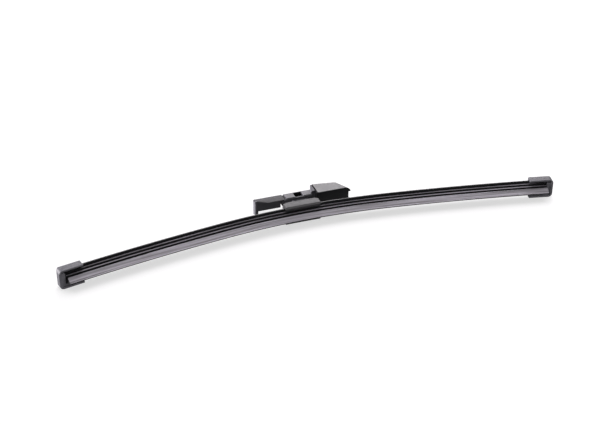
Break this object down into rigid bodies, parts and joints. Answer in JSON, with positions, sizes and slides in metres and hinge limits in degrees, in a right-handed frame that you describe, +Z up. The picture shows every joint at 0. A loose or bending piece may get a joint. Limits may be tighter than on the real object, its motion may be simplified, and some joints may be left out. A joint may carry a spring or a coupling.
{
  "type": "wiper blade",
  "caption": "Flat beam wiper blade with an arched rubber lip, sprung rails, moulded end caps and a pivoting arm adapter, lying on its side.",
  "frame": {"origin": "middle of the base of the part's box, on the surface that the blade lies on", "axes": "+X along the blade's chord, +Y from the glass side to the arm side, +Z up, across the blade"},
  "size_m": [0.3354, 0.055, 0.0133],
  "materials": {
    "rubber": "satin graphite coating",
    "spring_steel": "satin black coating",
    "cap_plastic": "fine moulded texture",
    "base_plastic": "satin",
    "pin_steel": "drawn wire",
    "body_plastic": "fine moulded texture",
    "cover_plastic": "smooth satin"
  },
  "bodies": {
    "blade": {"wiper_rubber": "rubber", "spring_rail_upper": "spring_steel", "spring_rail_lower": "spring_steel", "end_cap_left": "cap_plastic", "end_cap_right": "cap_plastic", "connector_base": "base_plastic", "pivot_pin": "pin_steel"},
    "adapter": {"adapter_body": "body_plastic", "adapter_cover": "cover_plastic"}
  },
  "joints": [
    {"name": "adapter_pivot", "type": "hinge", "parent": "blade", "child": "adapter", "pos_m": [0.00115, 0.01067, 0.00665], "axis": [0, 0, 1], "range_deg": [-15, 15]}
  ]
}
